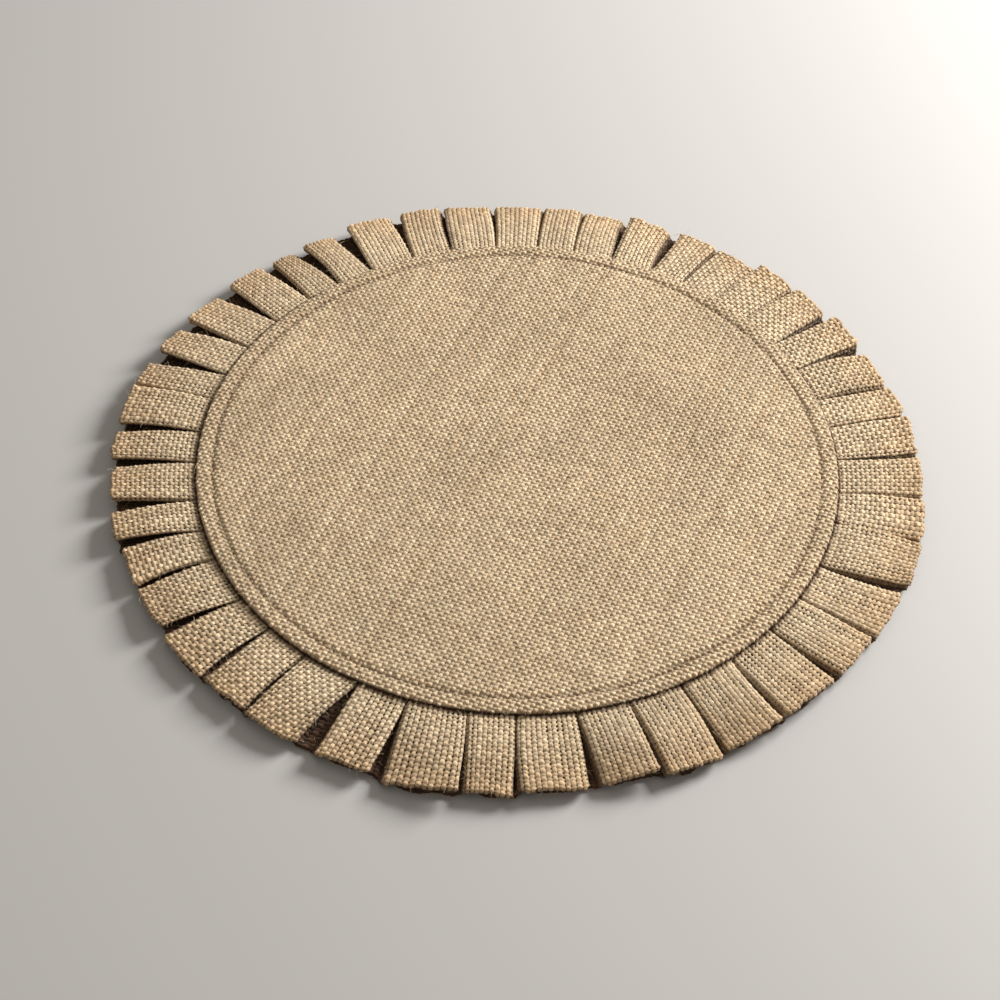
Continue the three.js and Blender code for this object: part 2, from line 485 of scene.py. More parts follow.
def sewing_thread_finish():
    material, tree, shader = new_finish("tan_sewing_thread")
    along = tree.add("ShaderNodeAttribute", {}, "Fac", attribute_name="along")
    around = tree.add("ShaderNodeAttribute", {}, "Vector", attribute_name="around")
    side, rise, _ = tree.parts(around)
    winding = tree.sin(along * (2 * math.pi / 0.8) + 2 * tree.math("ARCTAN2", rise, side))
    ply = tree.smooth(winding, -1.0, 1.0)
    place = tree.add("ShaderNodeTexCoord", {}, "Object")
    wear = tree.noise(place, 90.0)
    # Painted shade: the thread is painted dark brown at one phase of the twist, in the groove where its
    # two plies meet.
    colour = tree.mix(ply, (0.30, 0.20, 0.115, 1), (0.62, 0.47, 0.31, 1))
    colour = tree.mix(1.0, colour, 0.80 + wear * 0.4, "MULTIPLY")
    tree.plug(colour, shader.inputs["Base Color"])
    tree.plug(0.62 - ply * 0.14, shader.inputs["Roughness"])
    bump = tree.add("ShaderNodeBump", {"Height": ply, "Strength": 0.6, "Distance": 0.1 * MM})
    tree.plug(bump, shader.inputs["Normal"])
    return material


loose_fibre = loose_fibre_finish()
tan_thread = sewing_thread_finish()
print(f"finishes: {', '.join(m.name for m in bpy.data.materials)}")

# %% [markdown]
# ## Lifting the threads with Geometry Nodes
#
# A bump map alone leaves cloth this coarse looking printed, and it gives nothing to anyone who
# uses the bare mesh. So the weave is raised in the mesh itself. The cloth is first made smooth,
# with a vertex on each thread and one in each gap, and a point attribute `cloth` that counts
# threads. The tree below reads that attribute and moves each point along its normal. A second
# attribute, `relief`, turns the lift off where two layers are pressed together.

# %% Geometry Nodes helpers
class GeometryTree(Tree):
    """A Geometry Nodes tree, with the nodes that only such trees use."""

    def __init__(self, node_tree):
        super().__init__(node_tree)
        self.group_in = self.nodes.new("NodeGroupInput")
        self.group_out = self.nodes.new("NodeGroupOutput")

    def given(self, label):
        """One of the tree's own named inputs."""
        return Value(self, self.group_in.outputs[label])

    def attribute(self, name, kind):
        return self.add("GeometryNodeInputNamedAttribute", {"Name": name}, data_type=kind)

    def random_vector(self, low, high):
        """A vector of random numbers for each copy, which the input Seed decides."""
        inputs = {"Min": low, "Max": high, "Seed": self.given("Seed")}
        return self.add("FunctionNodeRandomValue", inputs, data_type="FLOAT_VECTOR")

    def tube(self, curve, profile):
        inputs = {"Curve": curve, "Profile Curve": profile, "Fill Caps": True}
        return self.add("GeometryNodeCurveToMesh", inputs)

    def circle(self, sides, radius):
        inputs = {"Resolution": sides, "Radius": radius}
        return self.add("GeometryNodeCurvePrimitiveCircle", inputs, mode="RADIUS")

    def store(self, geometry, name, value, kind):
        inputs = {"Geometry": geometry, "Name": name, "Value": value}
        return self.add("GeometryNodeStoreNamedAttribute", inputs, data_type=kind)

    def copies(self, points, instance, rotation, spin, size):
        """A copy at each point, turned by rotation and then by spin, and scaled."""
        inputs = {"Points": points, "Instance": instance, "Rotation": rotation}
        made = self.add("GeometryNodeInstanceOnPoints", inputs)
        made = self.add("GeometryNodeRotateInstances", {"Instances": made, "Rotation": spin})
        return self.add("GeometryNodeScaleInstances", {"Instances": made, "Scale": size})

    def end(self, geometry):
        """Every tree ends alike: instances made real, and one finish on all of it."""
        real = self.add("GeometryNodeRealizeInstances", {"Geometry": geometry})
        inputs = {"Geometry": real, "Material": self.given("Finish")}
        finished = self.add("GeometryNodeSetMaterial", inputs)
        self.plug(finished, self.group_out.inputs["Geometry"])


def new_geometry_tree(name, inputs):
    """A Geometry Nodes tree with its named inputs, and the identifier of each of them."""
    node_tree = bpy.data.node_groups.new(name, "GeometryNodeTree")
    face = node_tree.interface
    face.new_socket("Geometry", in_out="INPUT", socket_type="NodeSocketGeometry")
    identifiers = {}
    for label, kind, value in inputs:
        socket = face.new_socket(label, in_out="INPUT", socket_type=kind)
        if value is not None:
            socket.default_value = value
        identifiers[label] = socket.identifier
    face.new_socket("Geometry", in_out="OUTPUT", socket_type="NodeSocketGeometry")
    return GeometryTree(node_tree), identifiers


# %% Geometry Nodes tree that raises the weave
def build_weave_relief():
    tree, identifiers = new_geometry_tree("weave_relief", [
        ("Thread Pitch", "NodeSocketFloat", THREAD_PITCH),
        ("Depth", "NodeSocketFloat", WEAVE_DEPTH),
        ("Seed", "NodeSocketFloat", 1.0),
        ("Looseness", "NodeSocketFloat", 0.0),
        ("Finish", "NodeSocketMaterial", None),
    ])
    u, v, _ = tree.parts(tree.attribute("cloth", "FLOAT_VECTOR"))
    weave = plain_weave(tree, u, v, tree.given("Seed"), tree.given("Looseness"))
    share = weave["height"] * tree.attribute("relief", "FLOAT")
    lift = share * tree.given("Depth") * tree.given("Thread Pitch")
    normal = tree.add("GeometryNodeInputNormal")
    offset = tree.add("ShaderNodeVectorMath", {0: normal, "Scale": lift}, operation="SCALE")
    place = {"Geometry": tree.given("Geometry"), "Offset": offset}
    tree.end(tree.add("GeometryNodeSetPosition", place))
    return tree.node_tree, identifiers


weave_tree, weave_inputs = build_weave_relief()
print(f"weave tree has {len(weave_tree.nodes)} nodes")

# %% Running a tree and keeping its mesh
LOWEST = 0.02 * MM


def apply_geometry_nodes(piece, node_tree, identifiers, values):
    """Runs a tree on a piece and keeps the result as a plain mesh, with no modifier left."""
    modifier = piece.modifiers.new(node_tree.name, "NODES")
    modifier.node_group = node_tree
    for label, value in values.items():
        modifier[identifiers[label]] = value
    evaluated = piece.evaluated_get(bpy.context.evaluated_depsgraph_get())
    mesh = bpy.data.meshes.new_from_object(evaluated)
    piece.modifiers.remove(modifier)
    while mesh.materials[0] is None:
        mesh.materials.pop(index=0)
    piece.data = mesh
    mesh.name = piece.name


def rest_on_table(piece):
    """Threads that would sink into the table are pressed flat on it, as they are in use."""
    places = np.empty(3 * len(piece.data.vertices))
    piece.data.vertices.foreach_get("co", places)
    places[2::3] = np.maximum(places[2::3], LOWEST)
    piece.data.vertices.foreach_set("co", places)
    piece.data.update()


def raise_weave(piece, finish, seed, loose):
    values = {"Depth": WEAVE_DEPTH, "Seed": seed, "Looseness": loose, "Finish": finish}
    apply_geometry_nodes(piece, weave_tree, weave_inputs, values)
    rest_on_table(piece)
    print(piece.name, len(piece.data.vertices), "points")


# %% [markdown]
# ## Making a mesh from arrays
#
# The cloths have tens of thousands of points each, so they are worked out with numpy and given to
# Blender in bulk. The helper welds nothing and guesses nothing: it takes points, faces and three
# point attributes, and a UV map for baking, which Blender keeps on the corners of faces. The third
# attribute is painted shade: how deep inside a fold or a seam a point lies, or how far it is in the
# shadow of the hem, which the shader paints as darker cloth.

# %% Array mesh helper
def make_cloth_mesh(name, points, faces, cloth, relief, painted_shade, bake_uv):
    """A cloth as a mesh object. faces is a list of point lists, and bake_uv one pair per corner."""
    mesh = bpy.data.meshes.new(name)
    mesh.from_pydata(points.tolist(), [], faces)
    for label, kind, field, values in (
        ("cloth", "FLOAT_VECTOR", "vector", cloth),
        ("relief", "FLOAT", "value", relief),
        ("painted_shade", "FLOAT", "value", painted_shade),
    ):
        attribute = mesh.attributes.new(label, kind, "POINT")
        attribute.data.foreach_set(field, values.astype(np.float32).ravel())
    uv_map = mesh.uv_layers.new(name="OFBake")
    uv_map.uv.foreach_set("vector", bake_uv.astype(np.float32).ravel())
    mesh.shade_smooth()
    piece = bpy.data.objects.new(name, mesh)
    scene.collection.objects.link(piece)
    return piece


# %% [markdown]
# ## The round panels
#
# Each panel is one disc of cloth whose edge is turned under, with a line of stitching inside the
# edge. The threads run straight across the disc, so the middle is a square grid lined up with
# them, two points to a thread. The rim needs rings instead, to follow the stitch groove and the
# folded edge. A constrained Delaunay triangulation joins the stepped edge of the grid to the
# first ring. Hidden faces inside the mat close the shape and are coarse.

# %% Panel sizes
WEAVE_ANGLE = math.radians(-23.3)
GRID_STEP = THREAD_PITCH / 2
CLOTH_THICKNESS = 0.9 * MM
RELIEF_ROOM = 0.85 * MM
WEAVE_RADIUS = STITCH_RADIUS - 3.2 * MM
FIRST_RING = WEAVE_RADIUS + 0.5 * MM
RIM_STEP = 0.62 * MM
RIM_POINTS = 1600
HIDDEN_SHARE = 10
EDGE_BEND = 0.85 * MM
TURN_IN = 10 * MM
# (sag, softness, seed) of a panel's surface
TOP_CLOTH = (3.2 * MM, 1.0, 0.4)
BACKING_CLOTH = (0.0, 0.0, 2.9)
HEM_FLOOR = -(panel_high.z - panel_low.z - RELIEF_ROOM)
GROOVE_DEPTH = 0.85 * MM
GROOVE_WIDTH = 1.2 * MM
STITCH_LENGTH = 3.0 * MM
STITCH_COUNT = round(2 * math.pi * STITCH_RADIUS / STITCH_LENGTH)

# (millimetres out from the stitch line, half width, height), on each side of the stitches
EDGE_BULGES = [(3.6, 2.2, 0.13), (-4.5, 3.0, 0.12)]
# (wavelength, height) in millimetres of the slow waves that cross a free panel
RIPPLES = [(118, 0.30), (83, 0.22), (57, 0.14), (41, 0.08)]


def panel_surface(x, y, sag, softness, seed):
    """Height of a panel's outer face above the rim level, before the weave is raised.

    sag is how far the middle hangs below the rim, and softness how much the cloth bulges and
    ripples: 1 for the free top panel, and 0 for the backing, which the mat presses flat.
    """
    radius = np.hypot(x, y)
    turn = np.arctan2(y, x)
    inside = np.clip(radius / (WEAVE_RADIUS - 2 * MM), 0, 1)
    height = -sag * 0.5 * (1 + np.cos(math.pi * inside))
    from_stitch = radius - STITCH_RADIUS
    needle_hole = 0.75 + 0.25 * np.cos(STITCH_COUNT * turn)
    height -= GROOVE_DEPTH * needle_hole * np.exp(-((from_stitch / GROOVE_WIDTH) ** 2))
    soft = softness * MM
    for place, width, rise in EDGE_BULGES:
        height += rise * soft * np.exp(-(((from_stitch - place * MM) / (width * MM)) ** 2))
    pucker = np.exp(-((from_stitch / (7 * MM)) ** 2))
    height += 0.12 * soft * pucker * np.sin(71 * turn + seed) * np.cos(29 * turn)
    for number, (length, strength) in enumerate(RIPPLES):
        heading = 1.1 + 2.3 * number + seed
        along = x * math.cos(heading) + y * math.sin(heading)
        height += strength * soft * np.sin(along / (length * MM) * 2 * math.pi + 1.7 * number)
    return height


print(f"{STITCH_COUNT} stitches of {STITCH_LENGTH / MM:.1f} mm round the edge")

# %% Grid in the middle of a panel
def thread_grid():
    """Grid points inside WEAVE_RADIUS in cloth directions, its square cells, and its edge."""
    reach = int(WEAVE_RADIUS / GRID_STEP)
    index = np.arange(-reach, reach + 1)
    column, row = np.meshgrid(index, index, indexing="ij")
    inside = np.hypot(column, row) * GRID_STEP < WEAVE_RADIUS
    cells = inside[:-1, :-1] & inside[1:, :-1] & inside[1:, 1:] & inside[:-1, 1:]
    used = np.zeros_like(inside)
    for across, along in ((0, 0), (1, 0), (1, 1), (0, 1)):
        used[across:across + cells.shape[0], along:along + cells.shape[1]] |= cells
    number = np.full(inside.shape, -1)
    number[used] = np.arange(used.sum())
    low = np.argwhere(cells)
    corners = [low + step for step in ((0, 0), (1, 0), (1, 1), (0, 1))]
    quads = np.stack([number[c[:, 0], c[:, 1]] for c in corners], axis=1)
    edges = np.sort(np.concatenate([quads[:, [k, (k + 1) % 4]] for k in range(4)]), axis=1)
    edges, count = np.unique(edges, axis=0, return_counts=True)
    flat = np.stack([column[used], row[used]], axis=1) * GRID_STEP
    return flat, quads, edges[count == 1], cells, reach


def turned(flat, angle):
    """Points turned about the centre, from cloth directions to the mat's, or back."""
    cosine, sine = math.cos(angle), math.sin(angle)
    x, y = flat[:, 0], flat[:, 1]
    return np.stack([x * cosine - y * sine, x * sine + y * cosine], axis=1)


grid_flat, grid_quads, grid_edge, grid_cells, grid_reach = thread_grid()
grid_points = turned(grid_flat, WEAVE_ANGLE)
print(f"weave grid has {len(grid_flat)} points and {len(grid_quads)} cells")

# %% Joining the grid to the first ring
def ring_xy(radius, count):
    turn = np.arange(count) / count * 2 * math.pi
    return np.stack([np.cos(turn), np.sin(turn)], axis=1) * radius


def stitch_grid_to_ring(radius, count):
    """Triangles between the grid's stepped edge and a ring, numbered grid first and ring after."""
    ring = ring_xy(radius, count)
    edge_ids = np.unique(grid_edge)
    local = {int(point): place for place, point in enumerate(edge_ids)}
    points = [Vector(p) for p in grid_points[edge_ids]] + [Vector(p) for p in ring]
    first = len(edge_ids)
    edges = [(local[int(a)], local[int(b)]) for a, b in grid_edge]
    edges += [(first + k, first + (k + 1) % count) for k in range(count)]
    found, _, faces, origin, _, _ = delaunay_2d_cdt(points, edges, [], 0, 1e-7)
    names = [origins[0] for origins in origin]
    triangles = []
    for face in faces:
        centre = sum((found[k] for k in face), Vector((0, 0))) / 3
        flat = turned(np.array([centre]), -WEAVE_ANGLE)[0]
        cell = np.floor(flat / GRID_STEP).astype(int) + grid_reach
        outside_grid = (cell < 0).any() or (cell >= grid_cells.shape[0]).any()
        if not outside_grid and grid_cells[cell[0], cell[1]]:
            continue
        ids = [names[k] for k in face]
        triangles.append([
            int(edge_ids[k]) if k < first else len(grid_points) + k - first for k in ids
        ])
    return triangles


join_triangles = stitch_grid_to_ring(FIRST_RING, RIM_POINTS)
print(f"{len(join_triangles)} triangles join the grid to the rim")

# %% Section of the rim
def rim_section():
    """Rings of the rim as (radius, height below the rim level, cloth radius, weave strength, buried).

    They cross the top from the grid to the edge, go over the folded edge, and come back
    under the turned-in hem. Height None means that the ring lies on the panel's own surface.
    The last number is painted shade, for the stitch groove and the shadow under the folded edge.
    """
    rings = []
    for radius in np.arange(FIRST_RING, PANEL_RADIUS - EDGE_BEND, RIM_STEP):
        # Painted shade in the stitch groove, darkest at the line of stitches.
        in_groove = math.exp(-(((radius - STITCH_RADIUS) / (1.1 * MM)) ** 2))
        rings.append((radius, None, radius, 1.0, 0.45 * in_groove))
    corner = PANEL_RADIUS - EDGE_BEND
    for step in range(1, 7):
        angle = math.radians(90 - 30 * step)
        radius = corner + EDGE_BEND * math.cos(angle)
        cloth_radius = corner + EDGE_BEND * math.radians(30 * step)
        # Painted shadow: it grows round the folded edge and is full under it, so the edge throws a dark
        # line on the ruffle.
        if step <= 3:
            level, strength, depth = -EDGE_BEND * (1 - math.sin(angle)), 0.9, 0.08 * step ** 2
        else:
            level, strength, depth = HEM_FLOOR + EDGE_BEND * (1 + math.sin(angle)), 0.6, 1.0
        rings.append((radius, level, cloth_radius, strength, depth))
    return rings


# The hem's under side, and then the inner face of the cloth as far as the centre.
HIDDEN_RINGS = [
    (PANEL_RADIUS - 4 * MM, HEM_FLOOR),
    (PANEL_RADIUS - TURN_IN, HEM_FLOOR),
    (PANEL_RADIUS - TURN_IN - 0.4 * MM, None),
] + [(share * PANEL_RADIUS, None) for share in (0.93, 0.75, 0.5, 0.25)]

# %% A panel laid out for baking
def panel_bake_uv(flat, bake_radius, faces, seen_faces):
    """The seen side fills the map as a disc, and the hidden side is a small disc in a corner."""
    turn = np.arctan2(flat[:, 1], flat[:, 0])
    heading = np.stack([np.cos(turn), np.sin(turn)], axis=1)
    seen_reach = bake_radius.max() * 1.01
    seen = 0.5 + 0.5 * bake_radius[:, None] / seen_reach * heading
    hidden = 0.07 + 0.06 * flat / PANEL_RADIUS
    chosen = [(seen if k < seen_faces else hidden)[face] for k, face in enumerate(faces)]
    return np.concatenate(chosen)


# %% Build a panel
def make_panel(name, facing, sag, softness, seed):
    """One panel. facing is 1 for the top and -1 for the backing, which is the same upside down."""
    def surface(flat):
        return panel_surface(flat[:, 0], flat[:, 1], sag, softness, seed)

    columns = ([], [], [], [], [], [])

    def add(*values):
        """More points: place, height, place on the flat cloth, relief, buried, bake radius."""
        for column, value in zip(columns, values):
            column.append(value if np.ndim(value) else np.full(len(values[0]), value))

    rings = rim_section()
    add(grid_points, surface(grid_points), grid_flat / THREAD_PITCH, 1.0, 0.0,
        np.hypot(*grid_points.T))
    corner = PANEL_RADIUS - EDGE_BEND
    for radius, level, cloth_radius, strength, depth in rings:
        ring = ring_xy(radius, RIM_POINTS)
        if level is None:
            level = surface(ring)
        elif level > -EDGE_BEND:
            level = level + surface(ring_xy(corner, RIM_POINTS))
        threads = turned(ring_xy(cloth_radius, RIM_POINTS), -WEAVE_ANGLE) / THREAD_PITCH
        add(ring, level, threads, strength, depth if facing > 0 else 0.0, cloth_radius)
    faces = grid_quads.tolist() + [list(t) for t in join_triangles]
    start = len(grid_points)
    around = np.arange(RIM_POINTS)
    after = (around + 1) % RIM_POINTS
    for _ in range(len(rings) - 1):
        inner, outer = start, start + RIM_POINTS
        quads = np.stack([inner + around, outer + around, outer + after, inner + after], axis=1)
        faces += quads.tolist()
        start = outer
    last_fine = start
    seen_faces = len(faces)

    coarse = RIM_POINTS // HIDDEN_SHARE
    start = last_fine + RIM_POINTS
    for place, (radius, level) in enumerate(HIDDEN_RINGS):
        ring = ring_xy(radius, coarse)
        if level is None:
            level = surface(ring) - CLOTH_THICKNESS
        # Hidden faces are given full painted shade.
        add(ring, level, turned(ring, -WEAVE_ANGLE) / THREAD_PITCH, 0.0, 1.0, radius)
        for k in range(coarse):
            following = (k + 1) % coarse
            if place == 0:
                fine = [last_fine + (k * HIDDEN_SHARE + s) % RIM_POINTS for s in range(HIDDEN_SHARE + 1)]
                faces.append(fine[::-1] + [start + k, start + following])
            else:
                outer = start - coarse
                faces.append([outer + following, outer + k, start + k, start + following])
        start += coarse
    centre = np.zeros((1, 2))
    add(centre, surface(centre) - CLOTH_THICKNESS, centre, 0.0, 1.0, 0.0)
    inner = start - coarse
    faces += [[inner + (k + 1) % coarse, inner + k, start] for k in range(coarse)]

    flat, height, threads, relief, painted_shade, bake_radius = map(np.concatenate, columns)
    z = TOP_HEIGHT - RELIEF_ROOM + height
    if facing < 0:
        z = TOP_HEIGHT - z
        faces = [face[::-1] for face in faces]
    return make_cloth_mesh(
        name, np.column_stack([flat, z]), faces,
        np.column_stack([threads, np.zeros(len(threads))]), relief, painted_shade,
        panel_bake_uv(flat, bake_radius, faces, seen_faces),
    )


# %% Make both panels
top_panel = make_panel("top_panel_cloth", 1, *TOP_CLOTH)
backing_panel = make_panel("backing_panel_cloth", -1, *BACKING_CLOTH)
raise_weave(top_panel, panel_jute, 1.0, PRESSED)
raise_weave(backing_panel, backing_jute, 2.0, PRESSED)

# %% [markdown]
# ## The pleated ruffle
#
# The ruffle is a strip of the same cloth folded double along its length, so that its outer edge
# is a soft fold and both raw edges are inside the seam. It is then laid in knife pleats. Seen in
# section each pleat is a flat Z: a face that lies on top, a free fold, an underlay that goes back
# beneath the face nearly as far as the face is wide, and a second fold that turns it forward into
# the next pleat. At the seam the Z is pressed flat. Outwards it opens, the free folds lift off
# the table, and a dark wedge opens between each fold and the next face.
#
# No two pleats pressed by hand are alike, and a row of equal ones looks moulded. So each border
# between two pleats is listed, going round: where it is at the seam, where the free fold and the
# next face end up at the outer edge, and how high each of them stands there.

# %% The pleats, one border between two of them at a time
# (degrees at the seam, degrees of the fold's outer end, degrees of the next face's outer end,
#  millimetres that the fold's end stands up, millimetres that the next face's end stands up,
#  millimetres that the next pleat's end reaches out beyond the rest)
PLEAT_BORDERS = [
    (1.0, 1.4, 2.9, 7.6, 4.8, 2.5),
    (9.2, 9.8, 10.6, 7.8, 5.0, 1.8),
    (16.4, 16.2, 16.5, 6.4, 6.5, -0.3),
    (24.9, 23.9, 26.3, 7.0, 5.9, 1.3),
    (32.8, 32.5, 34.6, 8.6, 5.3, 0.8),
    (41.2, 40.9, 41.6, 6.8, 6.1, -0.4),
    (48.7, 48.0, 48.8, 9.4, 5.1, -2.0),
    (56.7, 55.8, 56.4, 6.2, 5.5, -1.1),
    (63.5, 62.9, 64.6, 6.6, 4.7, -1.9),
    (71.7, 71.5, 72.8, 9.4, 3.7, -1.8),
    (79.4, 79.2, 79.7, 5.0, 5.3, -0.9),
    (86.7, 85.9, 86.3, 4.6, 4.9, -2.0),
    (94.8, 94.2, 95.0, 5.6, 5.0, -1.4),
    (103.4, 102.6, 103.2, 6.8, 6.6, 0.3),
    (111.4, 109.8, 111.6, 6.6, 5.8, 0.3),
    (120.1, 119.1, 121.6, 8.2, 5.2, -1.2),
    (127.6, 127.3, 128.9, 7.4, 3.8, 0.0),
    (134.6, 133.0, 135.1, 4.6, 5.4, 1.1),
    (143.2, 141.7, 144.3, 6.8, 5.2, 0.7),
    (152.0, 151.7, 153.5, 8.8, 6.0, 1.3),
    (159.9, 159.3, 161.5, 9.0, 6.2, 2.9),
    (166.7, 166.5, 166.9, 7.2, 7.6, 3.0),
    (175.2, 174.8, 176.1, 7.8, 6.2, 3.0),
    (182.8, 181.7, 183.1, 7.4, 6.2, 1.0),
    (192.2, 189.9, 191.9, 7.8, 5.8, 2.0),
    (199.4, 197.5, 198.7, 8.0, 5.8, -0.2),
    (206.5, 206.1, 206.7, 6.6, 5.4, -1.0),
    (216.6, 214.5, 215.6, 7.4, 5.0, 0.6),
    (224.7, 224.4, 224.9, 6.0, 5.4, -0.1),
    (233.3, 232.4, 232.9, 6.4, 6.0, 0.6),
    (243.8, 240.9, 244.0, 5.0, 5.4, 0.6),
    (252.5, 251.5, 253.4, 5.4, 3.6, 2.9),
    (262.4, 263.1, 263.6, 8.2, 5.0, 0.5),
    (270.3, 269.8, 270.7, 4.8, 6.0, -1.4),
    (280.0, 279.6, 281.2, 4.6, 3.8, -1.7),
    (288.8, 288.8, 289.6, 8.8, 6.8, 0.8),
    (298.1, 297.5, 298.4, 5.0, 3.4, -1.3),
    (308.2, 307.0, 307.7, 8.0, 7.6, -1.5),
    (317.8, 317.3, 318.5, 5.6, 5.6, -1.2),
    (326.5, 326.4, 326.9, 5.4, 4.8, 0.2),
    (335.0, 335.9, 337.6, 5.0, 3.4, 2.2),
    (345.6, 345.5, 345.9, 5.6, 5.2, 2.2),
    (352.7, 353.5, 354.2, 6.8, 5.2, 1.5),
]
PLEAT_COUNT = len(PLEAT_BORDERS)
STRIP_COUNT = 3
print(f"{PLEAT_COUNT} pleats in {STRIP_COUNT} strips")

# %% Ruffle sizes
SHOWN_WIDTH = OUTER_RADIUS - PANEL_RADIUS
SEAM_ALLOWANCE = 13 * MM
SEAM_LEVELS = np.array([3.95, 5.4, 6.85]) * MM
TABLE_LEVEL = 1.20 * MM
FOLD_SPACE = 1.7 * MM
FREE_FOLD_SPACE = 2.0 * MM
HALF_THICKNESS = 0.38 * MM
EDGE_FOLD_HALF = 0.75 * MM
WALL_RUN_SEAM = 0.9 * MM
WALL_RUN_END = 1.5 * MM
UNDERLAY_MARGIN = 2.6 * MM
UNDERLAY_OPENING = 4.0 * MM

SHOWN_ROWS = 35
RUFFLE_STEP = SHOWN_WIDTH / SHOWN_ROWS
RUFFLE_PITCH = 2 * RUFFLE_STEP

hidden_rows = [-SEAM_ALLOWANCE, -SEAM_ALLOWANCE / 2]
rows = np.concatenate([hidden_rows, np.arange(SHOWN_ROWS + 1) * RUFFLE_STEP])
opening = np.clip(rows / SHOWN_WIDTH, 0, 1)
puff = np.clip((opening - 0.88) / 0.12, 0, 1)
puff = puff ** 2 * (3 - 2 * puff)
edge_half_thickness = HALF_THICKNESS + (EDGE_FOLD_HALF - HALF_THICKNESS) * puff
print(f"{len(rows)} rows of points across the strip")

# %% One pleat in section
FOLD_GAP = 0.3 * MM
FOLD_OVERHANG = 0.35 * MM
BOTTOM_SIDE = 8


def between(seam, end):
    """A measure at every row, which goes evenly from the seam to the outer end."""
    return seam + (end - seam) * opening


def pleat_controls(pleat):
    """Corners of the pleat's section at every row: (corner, row, [angle, height])."""
    dice = np.random.default_rng(100 + pleat % PLEAT_COUNT)
    seam_here, _, wall_here, _, wall_height, _ = PLEAT_BORDERS[pleat % PLEAT_COUNT]
    seam_next, fold_next, wall_next, fold_height, _, _ = PLEAT_BORDERS[(pleat + 1) % PLEAT_COUNT]
    turns_here = math.radians(360 * (pleat // PLEAT_COUNT))
    turns_next = math.radians(360 * ((pleat + 1) // PLEAT_COUNT))
    seam_wall = math.radians(seam_here) + turns_here
    end_wall = math.radians(wall_here) + turns_here
    next_wall_seam = math.radians(seam_next) + turns_next
    next_wall_end = math.radians(wall_next) + turns_next
    seam_fold = next_wall_seam - FOLD_GAP / PANEL_RADIUS
    end_fold = math.radians(fold_next) + turns_next

    radius = PANEL_RADIUS + np.maximum(rows, 0)
    bow = np.sin(math.pi * opening)
    wall = between(seam_wall, end_wall) + bow * dice.normal(0, 0.5) * MM / radius
    fold = between(seam_fold, end_fold) + bow * dice.normal(0, 0.6) * MM / radius
    next_wall = between(next_wall_seam, next_wall_end)
    run = between(WALL_RUN_SEAM, WALL_RUN_END) / radius
    back = wall + (UNDERLAY_MARGIN + UNDERLAY_OPENING * opening) / radius

    rise = opening ** 1.15
    arch = bow * dice.uniform(0.3, 1.5) * MM
    low = SEAM_LEVELS[0] + (TABLE_LEVEL - SEAM_LEVELS[0]) * np.clip(opening * 1.25, 0, 1)
    low = low + edge_half_thickness - HALF_THICKNESS

    def top(end_height):
        raised = SEAM_LEVELS[2] + (end_height * MM - SEAM_LEVELS[2]) * rise + arch
        return np.maximum(raised, low + 2 * FOLD_SPACE * (1 - 0.25 * opening))

    wall_top, fold_top = top(wall_height), top(fold_height)
    space = (SEAM_LEVELS[2] - SEAM_LEVELS[1]) + (FREE_FOLD_SPACE - FOLD_SPACE) * opening
    back_space = FOLD_SPACE * (1 - opening) + opening * (wall_top - low) * 0.45
    sag = 0.35 * MM * opening * dice.uniform(-1, 1)
    corners = [
        (wall - 0.2 * run, low),
        (wall + run, wall_top),
        ((wall + fold) / 2, (wall_top + fold_top) / 2 + sag + 0.3 * MM * opening),
        (fold, fold_top),
        (fold + FOLD_OVERHANG / radius, fold_top - space / 2),
        (fold, fold_top - space),
        (back, low + back_space),
        (back - FOLD_OVERHANG / radius, low + back_space / 2),
        (back, low),
        (next_wall - 0.2 * run, low),
    ]
    return np.array([np.stack([angle, height + 0 * angle], axis=1) for angle, height in corners])


# For each side of the section: how many points, how many threads from one to the next, how far
# the weave is raised, how much painted shade its two ends get, which is how deep in the fold they
# are, and how many millimetres its outer end stays back. The sides are the rise, two halves of the
# face, the free fold in two parts, the underlay going back, the second fold in two parts, and the
# bottom layer going forward. The underlay is hidden and has one point to a thread.
def section_sides(face_points):
    half = face_points // 2
    return [
        (5, 0.5, 0.8, 1.0, 0.6, 0.6),
        (half, 0.5, 1.0, 0.0, 0.0, 0.0),
        (face_points - half, 0.5, 1.0, 0.0, 0.0, 0.0),
        (1, 0.5, 0.8, 0.1, 0.4, 0.2),
        (1, 0.5, 0.5, 0.8, 1.0, 0.8),
        (8, 1.0, 0.1, 1.0, 1.0, 1.4),
        (1, 0.5, 0.2, 1.0, 1.0, 1.4),
        (1, 0.5, 0.2, 1.0, 1.0, 1.8),
        (16, 0.5, 0.8, 1.0, 1.0, 1.8),
    ]


# %% Lay out a whole strip
JOIN_SHARE = 0.015
FRAY = 0.90 * MM


def smoothed(values, times):
    """Rows of values with each one drawn towards its neighbours in the row."""
    for _ in range(times):
        values[:, 1:-1] = (values[:, :-2] + 2 * values[:, 1:-1] + values[:, 2:]) / 4
    return values


